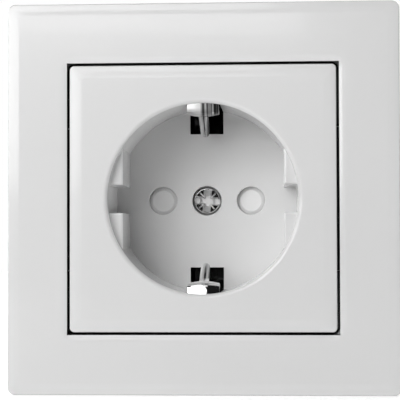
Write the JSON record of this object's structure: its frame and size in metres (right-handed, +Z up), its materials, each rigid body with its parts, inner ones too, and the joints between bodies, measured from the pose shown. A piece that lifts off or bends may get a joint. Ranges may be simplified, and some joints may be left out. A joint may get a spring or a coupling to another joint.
{
  "type": "type F wall socket",
  "caption": "Flush-mounted type F wall socket with a square cover frame, a round plug well, sprung earth contacts, a shutter behind the pin holes and a steel support ring.",
  "frame": {"origin": "centre of the two box screws, in the plane of the wall and of the support ring's rear face", "axes": "+Y into the wall, +Z up, +X to the right seen from the front"},
  "size_m": [0.0808, 0.0425, 0.0808],
  "materials": {
    "frame_white": "polished white moulding",
    "plate_white": "polished white moulding",
    "shutter_white": "satin white moulding",
    "retainer_grey": "satin pale grey moulding",
    "base_grey": "satin dark grey moulding",
    "cover_grey": "satin mid grey moulding",
    "lever_orange": "satin orange moulding",
    "screw_zinc": "bright zinc plating",
    "earth_plated": "bright tin plating",
    "ring_steel": "zinc plated sheet, satin",
    "claw_steel": "zinc plated sheet, satin",
    "spring_steel": "drawn spring steel",
    "contact_brass": "rolled brass",
    "rivet_brass": "drawn brass"
  },
  "bodies": {
    "root": {"cover_frame": "frame_white", "centre_plate": "plate_white", "centre_screw": "screw_zinc", "shutter_spring_left": "spring_steel", "shutter_spring_right": "spring_steel", "shutter_retainer": "retainer_grey", "support_ring": "ring_steel", "socket_base": "base_grey", "rear_cover": "cover_grey", "cover_screws": "screw_zinc", "contact_right": "contact_brass", "contact_left": "contact_brass", "contact_clip_right": "spring_steel", "contact_clip_left": "spring_steel", "earth_strap": "earth_plated", "earth_terminal": "contact_brass", "earth_rivet": "rivet_brass", "strap_rivet": "rivet_brass", "clamp_spring_right_a": "spring_steel", "clamp_spring_right_b": "spring_steel", "clamp_spring_left_a": "spring_steel", "clamp_spring_left_b": "spring_steel", "clamp_spring_earth_a": "spring_steel", "clamp_spring_earth_b": "spring_steel"},
    "shutter": {"shutter_slider": "shutter_white"},
    "lever_right": {"release_lever_right": "lever_orange"},
    "lever_left": {"release_lever_left": "lever_orange"},
    "lever_earth": {"release_lever_earth": "lever_orange"},
    "claw_screw_right": {"claw_screw_right": "screw_zinc"},
    "claw_screw_left": {"claw_screw_left": "screw_zinc"},
    "claw_right": {"claw_right": "claw_steel"},
    "claw_left": {"claw_left": "claw_steel"}
  },
  "joints": [
    {"name": "shutter_slide", "type": "slide", "parent": "root", "child": "shutter", "axis": [0, 0.2588, -0.9659], "range_m": [0, 0.00652], "stiffness_N_per_m": 60, "springref_m": -0.004, "deforming": ["shutter_spring_left", "shutter_spring_right"]},
    {"name": "release_right", "type": "slide", "parent": "root", "child": "lever_right", "axis": [0, -1, 0], "range_m": [0, 0.0016], "stiffness_N_per_m": 1500, "springref_m": -0.0004, "deforming": ["clamp_spring_right_a", "clamp_spring_right_b"]},
    {"name": "release_left", "type": "slide", "parent": "root", "child": "lever_left", "axis": [0, -1, 0], "range_m": [0, 0.0016], "stiffness_N_per_m": 1500, "springref_m": -0.0004, "deforming": ["clamp_spring_left_a", "clamp_spring_left_b"]},
    {"name": "release_earth", "type": "slide", "parent": "root", "child": "lever_earth", "axis": [0, -1, 0], "range_m": [0, 0.0016], "stiffness_N_per_m": 1500, "springref_m": -0.0004, "deforming": ["clamp_spring_earth_a", "clamp_spring_earth_b"]},
    {"name": "claw_swing_right", "type": "hinge", "parent": "root", "child": "claw_screw_right", "pos_m": [0.02303, -0.003, 0.0125], "axis": [0.4772, 0, -0.8788], "range_deg": [0, 12]},
    {"name": "claw_travel_right", "type": "slide", "parent": "claw_screw_right", "child": "claw_right", "axis": [0, -1, 0], "range_m": [0, 0.008]},
    {"name": "claw_swing_left", "type": "hinge", "parent": "root", "child": "claw_screw_left", "pos_m": [-0.02303, -0.003, -0.0125], "axis": [-0.4772, 0, 0.8788], "range_deg": [0, 12]},
    {"name": "claw_travel_left", "type": "slide", "parent": "claw_screw_left", "child": "claw_left", "axis": [0, -1, 0], "range_m": [0, 0.008]}
  ]
}
